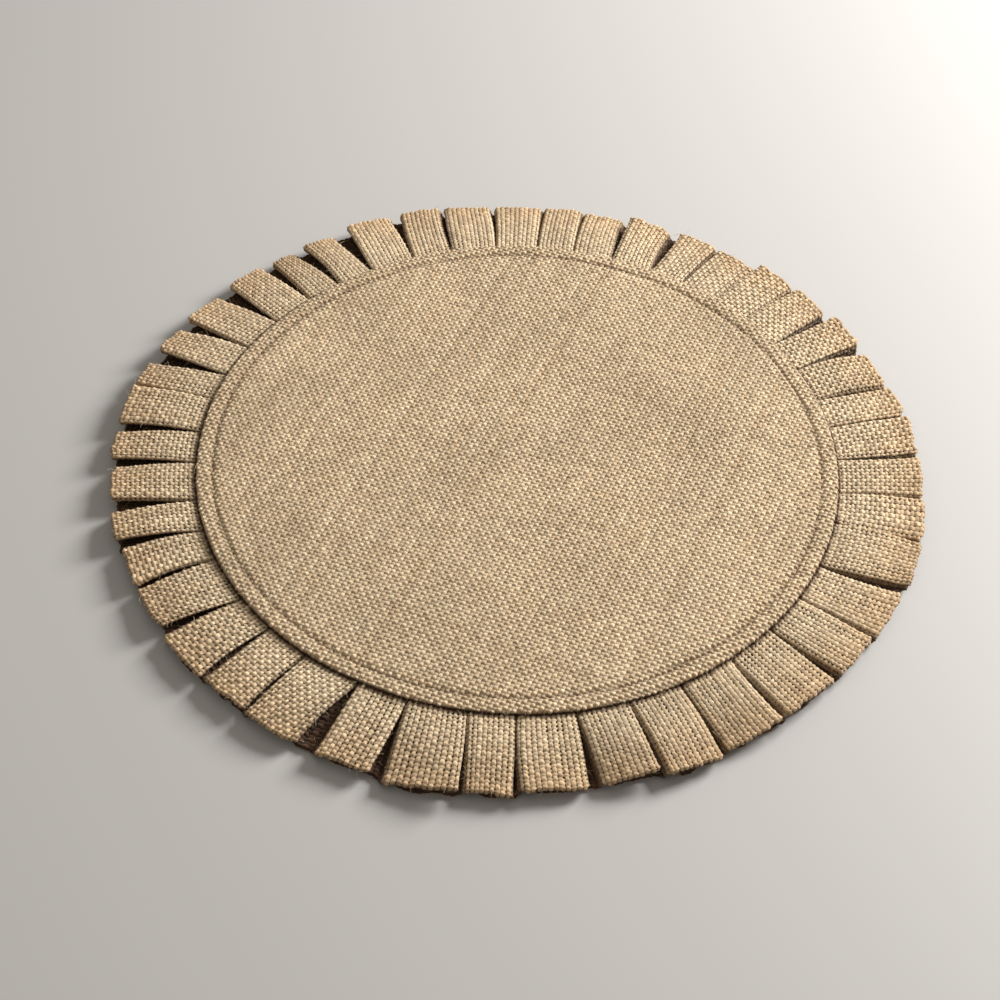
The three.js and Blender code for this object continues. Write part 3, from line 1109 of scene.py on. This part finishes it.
def strip_sheet(first, last):
    """Middle surface of a strip, by row and column, and four facts about each column.

    The facts are its thread, its relief, its painted shade, which is how deep in a fold it is, and
    whether it is in a bottom layer. The strip starts and ends halfway along a bottom layer, where its
    seam is out of sight.
    """
    angle, height, facts = [], [], []
    count = 0.0
    for pleat in range(first - 1, last):
        controls = pleat_controls(pleat)
        longer = PLEAT_BORDERS[pleat % PLEAT_COUNT][5] * MM
        face_points = round((controls[3, 2, 0] - controls[1, 2, 0]) * PANEL_RADIUS / RUFFLE_STEP)
        for side, (points, step, strength, deep, deeper, back) in enumerate(
            section_sides(face_points)
        ):
            shares = np.arange(points) / points
            if side == BOTTOM_SIDE and pleat == first - 1:
                shares = shares[points // 2:]
                shares[0] += JOIN_SHARE
            elif side == BOTTOM_SIDE and pleat == last - 1:
                shares = np.append(shares[:points // 2], 0.5 - JOIN_SHARE)
            elif pleat == first - 1:
                continue
            for share in shares:
                mixed = controls[side] * (1 - share) + controls[side + 1] * share
                angle.append(mixed[:, 0])
                height.append(mixed[:, 1])
                depth = deep + (deeper - deep) * share
                facts.append((count, strength, depth, side == BOTTOM_SIDE, longer - back * MM))
                count += step
    threads, relief, painted_shade, bottom, lengthen = np.array(facts).T
    angle, height = smoothed(np.array(angle).T, 2), smoothed(np.array(height).T, 2)
    fray = np.random.default_rng(700 + first).normal(0, 1, (1, len(threads)))
    lengthen = smoothed(lengthen[None], 2) + FRAY * smoothed(fray, 3)
    radius = PANEL_RADIUS + rows[:, None] + opening[:, None] ** 2 * lengthen
    points = np.stack([radius * np.cos(angle), radius * np.sin(angle), height], axis=2)
    return points, threads, relief, painted_shade, bottom


def unit(vectors):
    return vectors / np.maximum(np.linalg.norm(vectors, axis=2, keepdims=True), 1e-12)


# %% A strip laid out for baking
BAKE_BANDS = 3
END_CORNER = 0.999


def ruffle_bake_uv(quads, threads, level_count, column_count):
    """The strip laid flat and cut into bands one above the other, so that the map is square.

    The cut faces at its two ends, which are inside a seam, share one point of the map.
    """
    level, column = quads // column_count, quads % column_count
    base_level = level[:, :1]
    wrapped = np.where((level == 0) & (base_level == level_count - 1), level_count, level)
    start = threads[column.min(axis=1)]
    band_length = (threads[-1] + 1) / BAKE_BANDS
    band = np.floor(start / band_length)
    u = (threads[column] - (band * band_length)[:, None]) / (band_length + 1)
    v = wrapped / (level_count + 1)
    v = (v + band[:, None]) / BAKE_BANDS
    ends = np.full((2 * level_count, 2), END_CORNER)
    return np.concatenate([np.stack([u, v], axis=2).reshape(-1, 2), ends])


# %% Give the strip its two layers
INNER_ROWS = [0, 2, 13, 24, 34]
INNER_GAP = 0.04 * MM
TIP_REACH = 26 * MM
# Painted shadow of the hem's edge on the ruffle: full up to a ragged line near the seam, then fading
# over this distance.
HEM_SHADOW_REACH = 0.9 * MM
# Painted shade round the outer fold: heavy beneath it and light on top.
FOLD_SHADE = [[0.9], [0.45], [0.1]]


def make_ruffle(name, first, last):
    """A doubled, pleated strip as one closed cloth, folded at its outer edge."""
    middle, threads, relief, column_shade, bottom = strip_sheet(first, last)
    outwards = unit(np.gradient(middle, axis=0))
    along = unit(np.gradient(middle, axis=1))
    normal = unit(np.cross(outwards, along))
    half = edge_half_thickness
    shown = np.clip(rows / (2 * MM) + 1, 0, 1)

    # Painted shadow where the panel's hem throws its shadow on the ruffle, with a ragged edge.
    ragged = np.random.default_rng(40 + first).normal(1.25, 0.4, len(threads)) * MM
    hem_shadow = np.clip(1 - (rows[:, None] - ragged) / HEM_SHADOW_REACH, 0, 1)
    layers, facts = [], []

    def add(points, *values):
        """One more level of points: its weft thread and its relief."""
        layers.append(points)
        facts.append(values)

    for row in range(len(rows)):
        add(middle[row] - normal[row] * half[row], rows[row] / RUFFLE_PITCH, shown[row])
    fold_start = rows[-1] / RUFFLE_PITCH
    for step, degrees in enumerate((-45, 0, 45), 1):
        side, reach = math.sin(math.radians(degrees)), math.cos(math.radians(degrees))
        add(middle[-1] + (normal[-1] * side + outwards[-1] * reach) * half[-1],
            fold_start + step / 2, 0.8)
    for row in reversed(range(len(rows))):
        add(middle[row] + normal[row] * half[row],
            2 * fold_start + 2 - rows[row] / RUFFLE_PITCH, shown[row])
    for inner_rows, gap in ((INNER_ROWS, INNER_GAP), (INNER_ROWS[::-1], -INNER_GAP)):
        for row in inner_rows:
            add(middle[row] + normal[row] * gap, 0.0, 0.0)
    weft, strength = np.array(facts).T

    layers = np.array(layers)
    level_count, column_count = layers.shape[:2]
    number = np.arange(level_count * column_count).reshape(level_count, column_count)
    below, above = number, np.roll(number, -1, axis=0)
    quads = np.stack([below[:, :-1], below[:, 1:], above[:, 1:], above[:, :-1]], axis=2).reshape(-1, 4)
    faces = quads.tolist()
    faces += [number[::-1, 0].tolist(), number[:, -1].tolist()]
    tip = np.clip(1 - np.abs(weft - fold_start - 1) * RUFFLE_PITCH / TIP_REACH, 0, 1)
    cloth = np.stack(np.broadcast_arrays(threads, weft[:, None], tip[:, None]), axis=2)
    lift = np.outer(strength, relief).ravel()
    # Painted shade on each level: the lower side is dark except under the bottom layers, which lie on
    # the table; the upper side gets the hem's painted shadow near the seam, and with the outer fold and
    # the inner faces the shade of the fold each column lies in.
    under_rows = np.tile(1 - bottom, (len(rows), 1))
    fold_rows = np.full((3, column_count), FOLD_SHADE)
    inner_rows = np.ones((2 * len(INNER_ROWS), column_count))
    other_rows = np.concatenate([fold_rows, hem_shadow[::-1], inner_rows])
    other_rows = np.maximum(other_rows, column_shade[None, :])
    painted_shade = np.concatenate([under_rows, other_rows]).ravel()
    bake = ruffle_bake_uv(quads, threads, level_count, column_count)
    return make_cloth_mesh(
        name, layers.reshape(-1, 3), faces, cloth.reshape(-1, 3), lift, painted_shade, bake
    )


# %% Make the strips
strip_starts = [int(strip * PLEAT_COUNT / STRIP_COUNT + 0.5) for strip in range(STRIP_COUNT + 1)]
ruffles = []
for strip in range(STRIP_COUNT):
    ruffle = make_ruffle(f"ruffle_cloth_{strip + 1}", strip_starts[strip], strip_starts[strip + 1])
    raise_weave(ruffle, ruffle_jute, 3.0, UNPRESSED)
    ruffles.append(ruffle)

# %% [markdown]
# ## Stitches
#
# A lockstitch shows as a row of short bent threads, each of which comes up through one needle hole
# and goes down through the next. One bent thread, repeated along a line by Geometry Nodes, is the
# whole seam: the line becomes a curve, points are set along it at equal distances, and a copy is
# turned at each point to follow the line. The same tree sews the edge from above and below, the
# long basting stitches that hold the pleats, and the seams that join the ruffle's strips.

# %% Geometry Nodes tree for a line of stitches
def build_stitch_line():
    tree, identifiers = new_geometry_tree("stitch_line", [
        ("Stitches", "NodeSocketInt", 10),
        ("Stitch Length", "NodeSocketFloat", 2.7 * MM),
        ("Thread Radius", "NodeSocketFloat", 0.22 * MM),
        ("Arch", "NodeSocketFloat", 0.9 * MM),
        ("Up", "NodeSocketVector", (0, 0, 1)),
        ("Seed", "NodeSocketInt", 1),
        ("Finish", "NodeSocketMaterial", None),
    ])
    length, arch = tree.given("Stitch Length"), tree.given("Arch")
    bend = tree.add("GeometryNodeCurveQuadraticBezier", {
        "Resolution": 6,
        "Start": tree.vector(length * -0.5, 0.0, arch * -1.0),
        "Middle": tree.vector(0.0, 0.0, arch),
        "End": tree.vector(length * 0.5, 0.0, arch * -1.0),
    })
    way = tree.add("GeometryNodeSplineParameter", {}, "Length")
    bend = tree.store(bend, "along", way * 1000.0, "FLOAT")
    ring = tree.circle(6, tree.given("Thread Radius"))
    ring = tree.store(ring, "around", tree.add("GeometryNodeInputPosition"), "FLOAT_VECTOR")
    line = tree.add("GeometryNodeMeshToCurve", {"Mesh": tree.given("Geometry")})
    spread = {"Curve": line, "Count": tree.given("Stitches")}
    points = tree.add("GeometryNodeCurveToPoints", spread, mode="COUNT")
    turn = tree.add("FunctionNodeAxesToRotation", {
        "Primary Axis": points.other_output("Tangent"),
        "Secondary Axis": tree.given("Up"),
    }, primary_axis="X", secondary_axis="Z")
    slant = tree.random_vector((-0.05, -0.05, -0.10), (0.05, 0.05, 0.10))
    size = tree.random_vector((0.90, 0.90, 0.88), (1.04, 1.10, 1.08))
    copies = tree.copies(points, tree.tube(bend, ring), turn, slant, size)
    tree.end(tree.add("GeometryNodeSetShadeSmooth", {"Geometry": copies}))
    return tree.node_tree, identifiers


stitch_tree, stitch_inputs = build_stitch_line()
print(f"stitch tree has {len(stitch_tree.nodes)} nodes")

# %% Sew along a line
def sew(name, points, closed, values):
    """Stitches along a line of points, as one mesh."""
    mesh = bpy.data.meshes.new(name)
    count = len(points)
    edges = [(k, (k + 1) % count) for k in range(count if closed else count - 1)]
    mesh.from_pydata(points.tolist(), edges, [])
    piece = bpy.data.objects.new(name, mesh)
    scene.collection.objects.link(piece)
    apply_geometry_nodes(piece, stitch_tree, stitch_inputs, values | {"Finish": tan_thread})
    print(f"{name}: {len(piece.data.polygons)} faces")
    return piece


def groove_bottom(sag, softness, seed):
    """Where thread lies in a panel's stitch groove, which dips at every needle hole."""
    surface = panel_surface(edge_xy[:, 0], edge_xy[:, 1], sag, softness, seed)
    return surface + GROOVE_DEPTH * 0.25 * (np.cos(STITCH_COUNT * edge_turn) + 1)


NEEDLE_LIFT = 0.30 * MM
BOBBIN_DROP = 0.20 * MM
BASTING_LENGTH = 6.0 * MM
BASTING_COUNT = round(2 * math.pi * BASTING_RADIUS / BASTING_LENGTH)
edge_turn = (np.arange(4 * STITCH_COUNT) / 4 + 0.5) / STITCH_COUNT * 2 * math.pi
edge_xy = np.stack([np.cos(edge_turn), np.sin(edge_turn)], axis=1) * STITCH_RADIUS

needle_z = TOP_HEIGHT - RELIEF_ROOM + groove_bottom(*TOP_CLOTH) + NEEDLE_LIFT
needle_stitches = sew("needle_stitches", np.column_stack([edge_xy, needle_z]), True, {
    "Stitches": STITCH_COUNT, "Seed": 3,
})
bobbin_z = RELIEF_ROOM - groove_bottom(*BACKING_CLOTH) - BOBBIN_DROP
bobbin_stitches = sew("bobbin_stitches", np.column_stack([edge_xy, bobbin_z]), True, {
    "Stitches": STITCH_COUNT, "Up": (0, 0, -1), "Arch": 0.7 * MM, "Seed": 4,
})
basting_z = np.full(len(edge_xy), (basting_low.z + basting_high.z) / 2)
basting_xy = edge_xy / STITCH_RADIUS * BASTING_RADIUS
basting_stitches = sew("basting_stitches", np.column_stack([basting_xy, basting_z]), True, {
    "Stitches": BASTING_COUNT, "Stitch Length": 0.8 * BASTING_LENGTH, "Arch": 0.25 * MM, "Seed": 5,
})

# %% [markdown]
# ## Seams between the ruffle's strips
#
# The pleats take 2.9 metres of cloth, which is more than two widths of it, so the ruffle is three
# strips. Each seam crosses the strip in the middle of a bottom layer, where the next pleat hides
# it. The line is found from the same pleat corners that shaped the cloth.

# %% Sew the strips together
join_stitches = []
for strip in range(STRIP_COUNT):
    corners = pleat_controls(strip_starts[strip] - 1)
    middle = (corners[BOTTOM_SIDE] + corners[BOTTOM_SIDE + 1]) / 2
    radius = PANEL_RADIUS + rows
    line = np.column_stack([
        radius * np.cos(middle[:, 0]), radius * np.sin(middle[:, 0]), middle[:, 1]
    ])[:-2]
    way = np.linalg.norm(line[-1] - line[0])
    join_stitches.append(sew(f"join_stitches_{strip + 1}", line, False, {
        "Stitches": round(way / STITCH_LENGTH), "Arch": 0.35 * MM, "Seed": 6 + strip,
    }))

# %% [markdown]
# ## Loose fibres
#
# Jute sheds. Short stiff hairs stand out of every thread, and against the light they make the
# edges of the mat fuzzy. A particle system would leave hair that the export drops. Points
# scattered on the finished cloth, with a three-sided bent hair copied to each, give plain mesh
# with few faces. The `relief` attribute keeps the hairs off the hidden faces.

# %% Geometry Nodes tree for loose fibres
def build_loose_fibres():
    tree, identifiers = new_geometry_tree("loose_fibres", [
        ("Fibres Per Square Metre", "NodeSocketFloat", 9000.0),
        ("Fibre Length", "NodeSocketFloat", 5 * MM),
        ("Fibre Radius", "NodeSocketFloat", 0.08 * MM),
        ("Shortest", "NodeSocketFloat", 0.4),
        ("Lowest Relief", "NodeSocketFloat", 0.75),
        ("Seed", "NodeSocketInt", 1),
        ("Finish", "NodeSocketMaterial", None),
    ])
    length, radius = tree.given("Fibre Length"), tree.given("Fibre Radius")
    bend = tree.add("GeometryNodeCurveQuadraticBezier", {
        "Resolution": 4,
        "Start": tree.vector(0.0, 0.0, radius * -2.0),
        "Middle": tree.vector(length * 0.25, 0.0, length * 0.55),
        "End": tree.vector(length * 0.85, length * 0.15, length * 0.45),
    })
    _, _, facing_up = tree.parts(tree.add("GeometryNodeInputNormal"))
    shown = tree.attribute("relief", "FLOAT") > tree.given("Lowest Relief")
    scatter = tree.add("GeometryNodeDistributePointsOnFaces", {
        "Mesh": tree.given("Geometry"),
        "Selection": shown * (facing_up > 0.0),
        "Density": tree.given("Fibres Per Square Metre"),
        "Seed": tree.given("Seed"),
    }, "Points", distribute_method="RANDOM")
    spin = tree.random_vector((-0.55, -0.55, 0.0), (0.55, 0.55, 2 * math.pi))
    shortest = tree.given("Shortest")
    size = tree.random_vector(tree.vector(shortest, shortest, shortest * 0.4), (1.3, 1.3, 0.8))
    hair = tree.tube(bend, tree.circle(3, radius))
    tree.end(tree.copies(scatter, hair, scatter.other_output("Rotation"), spin, size))
    return tree.node_tree, identifiers


fibre_tree, fibre_inputs = build_loose_fibres()
print(f"fibre tree has {len(fibre_tree.nodes)} nodes")

# %% Scatter the fibres
def shed_fibres(cloth_piece, name, density, seed):
    """Fibres standing out of a cloth, as one mesh."""
    piece = bpy.data.objects.new(name, cloth_piece.data)
    scene.collection.objects.link(piece)
    apply_geometry_nodes(piece, fibre_tree, fibre_inputs, {
        "Fibres Per Square Metre": density, "Seed": seed, "Finish": loose_fibre,
    })
    rest_on_table(piece)
    print(f"{name}: {len(piece.data.polygons)} faces")
    return piece


panel_fibres = shed_fibres(top_panel, "panel_fibres", 15000.0, 21)
ruffle_fibres = [
    shed_fibres(ruffle, f"ruffle_fibres_{strip + 1}", 24000.0, 31 + strip)
    for strip, ruffle in enumerate(ruffles)
]

# %% [markdown]
# ## Joining the pieces to the part
#
# Nothing on the mat moves by itself, so every piece rides on the one body. Each cloth takes the
# place of its plain CAD solid, and the size each ruffle strip was cut to, before it was folded and
# pleated, is worked out and printed.

# %% Which piece stands for which solid
def stands_for(piece, node):
    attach(piece, "root")
    if node:
        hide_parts(node)


stands_for(top_panel, "top_panel")
stands_for(backing_panel, "backing_panel")
stands_for(needle_stitches, "edge_needle_thread")
stands_for(bobbin_stitches, "edge_bobbin_thread")
stands_for(basting_stitches, "pleat_basting_thread")
stands_for(panel_fibres, None)
for number, (ruffle, fibres, join) in enumerate(zip(ruffles, ruffle_fibres, join_stitches), 1):
    stands_for(ruffle, f"ruffle_strip_{number}")
    stands_for(fibres, None)
    stands_for(join, f"strip_join_thread_{number}")

# %% The cloths as they were cut
STRIP_CUT_WIDTH = 2 * (SHOWN_WIDTH + SEAM_ALLOWANCE)


def strip_cut_length(strip):
    """Length of a strip measured along the seam, round all of its pleats."""
    total = 0
    for pleat in range(strip_starts[strip], strip_starts[strip + 1]):
        corners = pleat_controls(pleat)[:, 2]
        across = np.diff(corners[:, 0]) * PANEL_RADIUS
        total += np.hypot(across, np.diff(corners[:, 1])).sum()
    return total


for strip, ruffle in enumerate(ruffles):
    cut = (STRIP_CUT_WIDTH, strip_cut_length(strip))
    print(f"{ruffle.name} was cut {cut[0] / MM:.0f} by {cut[1] / MM:.0f} mm")

# %% Measure and finish
visual_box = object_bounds()
for corner in (*cad_box, *visual_box):
    print([round(value / MM, 2) for value in corner])
